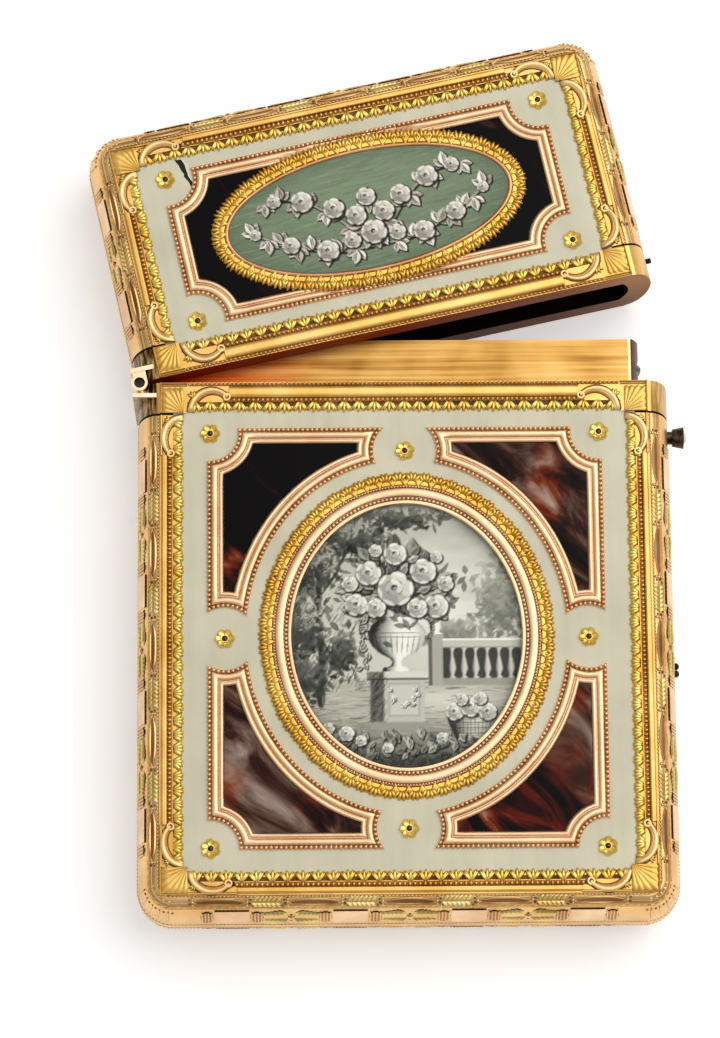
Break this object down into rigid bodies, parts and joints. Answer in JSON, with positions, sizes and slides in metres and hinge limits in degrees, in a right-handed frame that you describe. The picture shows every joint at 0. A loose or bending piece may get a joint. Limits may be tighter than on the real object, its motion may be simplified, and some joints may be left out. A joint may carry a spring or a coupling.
{
  "type": "aide memoire case",
  "caption": "Flat hinged case for memo leaves: ivory panels in gold cage work, oval plaques on both faces, a side-hinged lid and a push-button catch.",
  "frame": {"origin": "on the rest plane under the case, below the middle of the base's mouth rail", "axes": "+X across the face towards the push-button, +Y from the base towards the lid, +Z out of the front face"},
  "size_m": [0.0681, 0.1024, 0.013],
  "materials": {
    "carcass_wood": "dark stained",
    "lining_gold": "brushed",
    "side_gold": "chased",
    "collar_gold": "polished",
    "tortoiseshell": "polished, mottled",
    "lid_plaque_paint": "painted",
    "base_plaque_paint": "painted in greys",
    "cover_glass": "clear",
    "ivory": "polished bone",
    "leaf_ivory": "satin",
    "dark_steel": "blackened",
    "spring_steel": "satin",
    "silver": "polished",
    "stone": "cut",
    "rose_gold": "polished",
    "bright_gold": "polished"
  },
  "bodies": {
    "base": {"base_carcass": "carcass_wood", "base_lining": "lining_gold", "base_side_band": "side_gold", "base_collar": "collar_gold", "base_front_frame": "rose_gold", "base_back_frame": "rose_gold", "base_front_leaf_border": "bright_gold", "base_back_leaf_border": "bright_gold", "base_front_corner_mounts": "bright_gold", "base_back_corner_mounts": "bright_gold", "base_front_ivory": "ivory", "base_back_ivory": "ivory", "base_front_spandrel_frames": "rose_gold", "base_back_spandrel_frames": "rose_gold", "base_front_spandrel_shells": "tortoiseshell", "base_back_spandrel_shells": "tortoiseshell", "base_front_oval_leaves": "bright_gold", "base_back_oval_leaves": "bright_gold", "base_front_oval_frame": "rose_gold", "base_back_oval_frame": "rose_gold", "base_front_plaque": "base_plaque_paint", "base_back_plaque": "base_plaque_paint", "base_glasses": "cover_glass", "base_rosettes": "bright_gold", "base_frame_pins": "dark_steel", "base_hinge_leaf": "bright_gold", "hinge_pin": "dark_steel", "side_stud": "dark_steel", "catch_rivet": "spring_steel"},
    "lid": {"lid_carcass": "carcass_wood", "lid_side_band": "side_gold", "lid_collar": "collar_gold", "lid_front_frame": "rose_gold", "lid_back_frame": "rose_gold", "lid_front_leaf_border": "bright_gold", "lid_back_leaf_border": "bright_gold", "lid_front_corner_mounts": "bright_gold", "lid_back_corner_mounts": "bright_gold", "lid_front_ivory": "ivory", "lid_back_ivory": "ivory", "lid_front_panel_frame": "rose_gold", "lid_back_panel_frame": "rose_gold", "lid_front_panel_shell": "tortoiseshell", "lid_back_panel_shell": "tortoiseshell", "lid_front_oval_leaves": "bright_gold", "lid_back_oval_leaves": "bright_gold", "lid_front_oval_rim": "rose_gold", "lid_back_oval_rim": "rose_gold", "lid_front_plaque": "lid_plaque_paint", "lid_back_plaque": "lid_plaque_paint", "lid_rosettes": "bright_gold", "lid_frame_pins": "dark_steel", "lid_hinge_leaf": "bright_gold", "lid_keeper_pin": "dark_steel"},
    "button": {"push_button": "silver", "push_button_stone": "stone"},
    "catch": {"catch_spring": "spring_steel"},
    "leaves": {"memo_leaves": "leaf_ivory", "leaf_rivet": "silver"},
    "pencil": {"pencil": "silver"}
  },
  "joints": [
    {"name": "lid_hinge", "type": "hinge", "parent": "base", "child": "lid", "pos_m": [-0.0298, 0.0012, 0.0065], "axis": [0, 0, 1], "range_deg": [-12.4, 87.6]},
    {"name": "button_push", "type": "slide", "parent": "base", "child": "button", "axis": [-1, 0, 0], "range_m": [0, 0.0006], "stiffness_N_per_m": 1500},
    {"name": "catch_flex", "type": "hinge", "parent": "base", "child": "catch", "pos_m": [0.02615, -0.01685, 0.0065], "axis": [0, 0, 1], "range_deg": [0, 2.9]},
    {"name": "leaves_slide", "type": "slide", "parent": "base", "child": "leaves", "axis": [0, 1, 0], "range_m": [0, 0.01]},
    {"name": "pencil_slide", "type": "slide", "parent": "base", "child": "pencil", "axis": [0, 1, 0], "range_m": [0, 0.01]}
  ],
  "couplings": [
    {"joint": "catch_flex", "follows": "button_push", "rad_per_m": 78.125}
  ]
}
